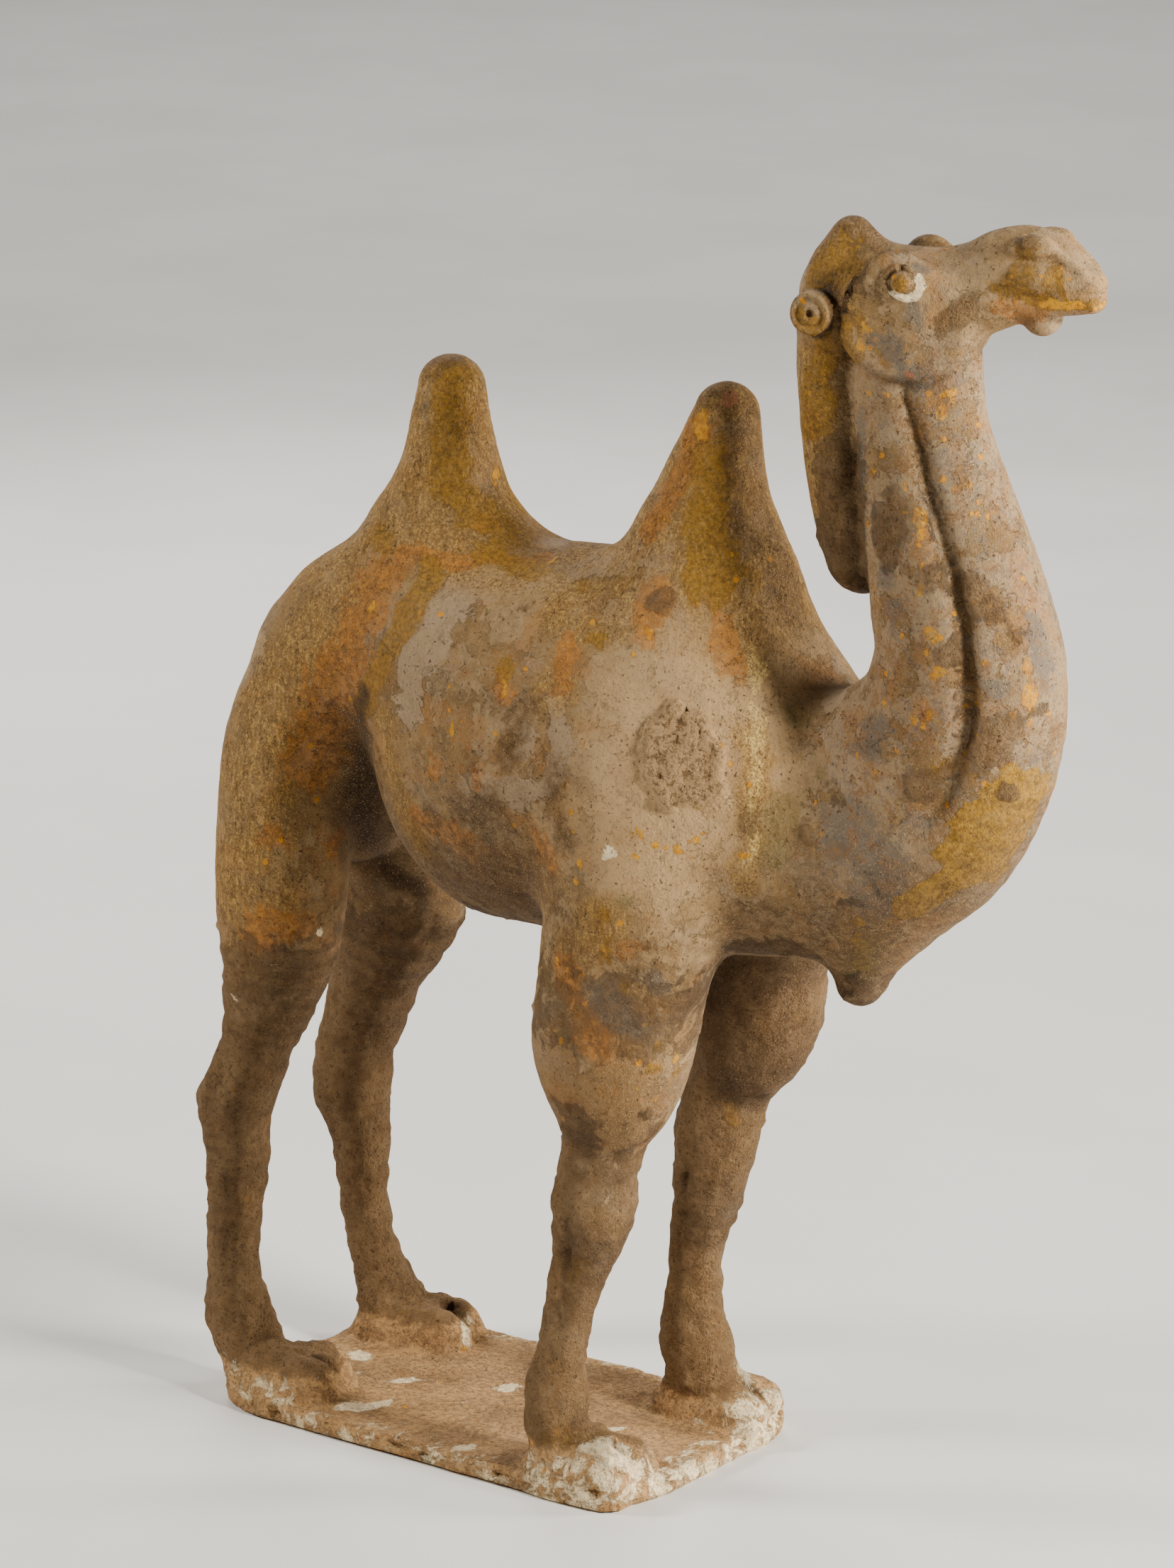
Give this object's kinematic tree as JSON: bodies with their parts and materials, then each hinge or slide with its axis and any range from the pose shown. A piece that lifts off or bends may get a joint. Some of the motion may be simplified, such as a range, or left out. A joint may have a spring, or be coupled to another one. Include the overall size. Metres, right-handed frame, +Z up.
{
  "type": "camel figure",
  "caption": "Standing two-humped camel figure of painted terracotta with long neck, hanging mane and raised head, on a thin rounded base slab.",
  "frame": {"origin": "middle of the underside of the base slab", "axes": "+Z up, +X where the camel looks, so its right side faces -Y"},
  "size_m": [0.3, 0.1061, 0.3989],
  "materials": {
    "fired_clay": "matt"
  },
  "bodies": {
    "root": {"camel_on_base_slab": "fired_clay"}
  },
  "joints": []
}
